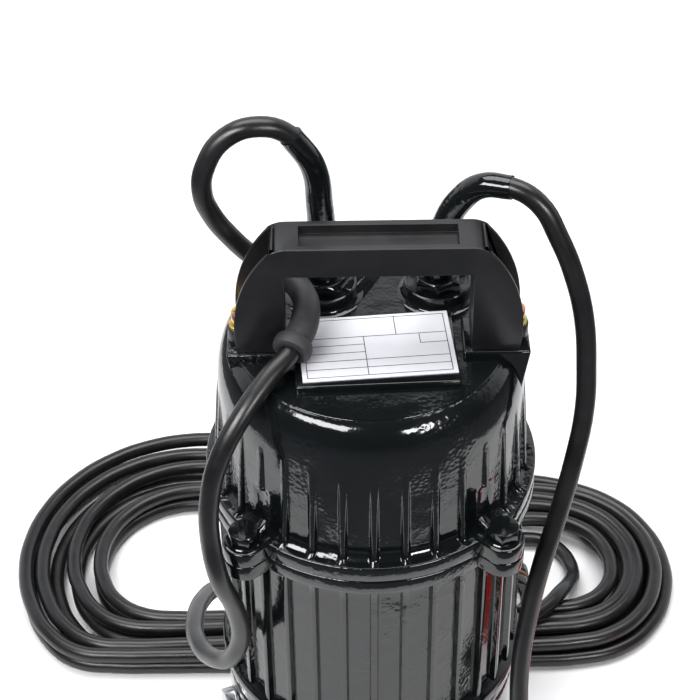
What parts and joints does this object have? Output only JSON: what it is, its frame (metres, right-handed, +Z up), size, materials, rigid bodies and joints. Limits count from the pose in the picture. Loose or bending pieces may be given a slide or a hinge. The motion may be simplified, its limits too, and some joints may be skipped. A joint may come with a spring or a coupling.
{
  "type": "submersible sump pump",
  "caption": "Upright submersible sump pump with a ribbed cast case, slotted strainer foot, strap handle, rear hose outlet, rubber mains lead and float switch.",
  "frame": {"origin": "centre of the strainer's underside, on the shaft's axis", "axes": "+Z up the shaft, -Y towards the side the rating plate reads from, +X to that reader's right"},
  "size_m": [0.5094, 0.396, 0.4375],
  "materials": {
    "black_enamel": "gloss black enamel sprayed over the ribbed case",
    "strainer_plastic": "black moulded plastic, lightly grained",
    "handle_plastic": "satin black moulded plastic",
    "cord_rubber": "black rubber, faintly powdery",
    "bush_rubber": "dark grey rubber",
    "seal_rubber": "soft black rubber",
    "gasket_fibre": "brown fibre sheet",
    "plate_metal": "thin silver plate with printed black lines",
    "zinc_yellow": "yellow passivated zinc",
    "zinc_bright": "bright zinc",
    "steel": "ground steel",
    "bearing_steel": "polished bearing steel",
    "core_steel": "stacked electrical steel, varnished",
    "copper": "enamelled copper wire",
    "cast_alloy": "as-cast aluminium",
    "impeller_bronze": "cast bronze",
    "seal_ceramic": "lapped ceramic",
    "seal_carbon": "lapped carbon",
    "capacitor_can": "pale moulded can",
    "terminal_plastic": "cream moulded plastic",
    "cutout_plastic": "black moulded plastic",
    "float_red": "red moulded plastic",
    "cell_plastic": "cream moulded plastic"
  },
  "bodies": {
    "pump": {"strainer": "strainer_plastic", "strainer_screws": "zinc_bright", "suction_plate": "black_enamel", "volute_casing": "black_enamel", "discharge_gasket": "gasket_fibre", "hose_elbow": "black_enamel", "elbow_screws": "zinc_bright", "oil_chamber": "black_enamel", "oil_plug": "zinc_bright", "bearing_bracket": "black_enamel", "case_bolts": "zinc_bright", "motor_body": "black_enamel", "cover_seal": "seal_rubber", "top_cover": "black_enamel", "cover_bolts": "black_enamel", "cover_washers": "black_enamel", "rating_plate": "plate_metal", "handle": "handle_plastic", "handle_screws": "zinc_yellow", "handle_washers": "zinc_yellow", "gland_nuts": "black_enamel", "gland_seals": "seal_rubber", "mains_sleeve": "cord_rubber", "float_sleeve": "cord_rubber", "lead_bush": "bush_rubber", "stator_core": "core_steel", "upper_winding": "copper", "lower_winding": "copper", "upper_bearing_plate": "cast_alloy", "bearing_outer_rings": "bearing_steel", "bearing_balls": "bearing_steel", "capacitor": "capacitor_can", "capacitor_clip": "zinc_bright", "terminal_block": "terminal_plastic", "thermal_cutout": "cutout_plastic", "earth_screw": "zinc_yellow", "seal_seat": "seal_ceramic", "mains_lead": "cord_rubber", "mains_coil": "cord_rubber", "mains_tail": "cord_rubber", "plug_body": "cord_rubber", "plug_pins": "bearing_steel", "float_lead": "cord_rubber"},
    "rotor": {"shaft": "steel", "rotor_core": "core_steel", "rotor_end_rings": "cast_alloy", "bearing_inner_rings": "bearing_steel", "seal_face": "seal_carbon", "impeller": "impeller_bronze", "impeller_key": "steel", "impeller_nut": "zinc_bright"},
    "float": {"float_upper_shell": "float_red", "float_lower_shell": "float_red", "float_boot": "cord_rubber", "float_switch_cell": "cell_plastic"},
    "ball": {"float_ball": "bearing_steel"}
  },
  "joints": [
    {"name": "rotor_spin", "type": "hinge", "parent": "pump", "child": "rotor", "pos_m": [0, 0, 0.2], "axis": [0, 0, 1], "continuous": true},
    {"name": "float_swing", "type": "hinge", "parent": "pump", "child": "float", "pos_m": [0.18, 0.022, 0.019], "axis": [0, -1, 0], "range_deg": [0, 60]},
    {"name": "ball_roll", "type": "slide", "parent": "float", "child": "ball", "axis": [1, 0, 0], "range_m": [0, 0.018]}
  ]
}
